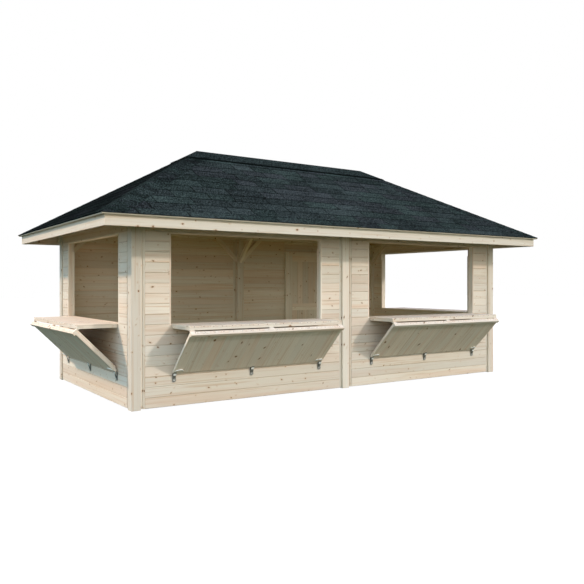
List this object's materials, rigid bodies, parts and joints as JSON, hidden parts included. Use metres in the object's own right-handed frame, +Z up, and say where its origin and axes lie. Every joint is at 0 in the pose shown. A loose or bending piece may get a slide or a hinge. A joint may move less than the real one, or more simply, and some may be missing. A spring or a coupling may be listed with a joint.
{
  "type": "wooden market stall",
  "caption": "Free-standing timber sales stall with boarded bays, folding serving hatches that make counters, a hinged back door and a hipped shingle roof on posts.",
  "frame": {"origin": "middle of the footprint at ground level, under the middle of the roof", "axes": "+Z up, +X along the stall from the left end to the right end seen from the long serving side, which faces -Y"},
  "size_m": [7.2522, 4.1331, 3.3955],
  "materials": {
    "frame_wood": "planed raw spruce",
    "wall_boards": "planed raw spruce boards with small knots",
    "hatch_wood": "planed raw spruce",
    "roof_boards": "planed raw spruce",
    "shingles": "mineral-coated bitumen shingles, matt",
    "zinc_steel": "zinc-plated steel"
  },
  "bodies": {
    "stall": {"posts": "frame_wood", "beams_long": "frame_wood", "beams_cross": "frame_wood", "knee_braces": "frame_wood", "wall_front_left": "wall_boards", "wall_front_right": "wall_boards", "wall_left_end": "wall_boards", "wall_right_end": "wall_boards", "wall_back_left": "wall_boards", "wall_beside_door": "wall_boards", "wall_back_corner": "wall_boards", "wall_over_door": "wall_boards", "wall_stiles": "frame_wood", "linings_front": "frame_wood", "linings_ends": "frame_wood", "counters_front": "hatch_wood", "counters_ends": "hatch_wood", "flaps_front": "hatch_wood", "flaps_ends": "hatch_wood", "hatch_hinge_blocks": "hatch_wood", "hatch_hasps": "zinc_steel", "hatch_handles": "zinc_steel", "door_frame": "frame_wood", "door_hinge_pins": "zinc_steel", "ridge_beam": "frame_wood", "hip_rafters_front": "frame_wood", "hip_rafters_back": "frame_wood", "rafters_long": "frame_wood", "rafters_ends": "frame_wood", "roof_boards_front": "roof_boards", "roof_boards_back": "roof_boards", "roof_boards_left": "roof_boards", "roof_boards_right": "roof_boards", "shingles_front": "shingles", "shingles_back": "shingles", "shingles_left": "shingles", "shingles_right": "shingles", "ridge_cap": "shingles", "hip_caps": "shingles", "fascia_long": "frame_wood", "fascia_ends": "frame_wood"},
    "door": {"door_leaf": "frame_wood", "door_boards": "wall_boards", "door_strap_hinges": "zinc_steel", "door_handles": "zinc_steel"}
  },
  "joints": [
    {"name": "door_hinge", "type": "hinge", "parent": "stall", "child": "door", "pos_m": [1.03125, 1.571, 1.0175], "axis": [0, 0, 1], "range_deg": [0, 100]}
  ]
}
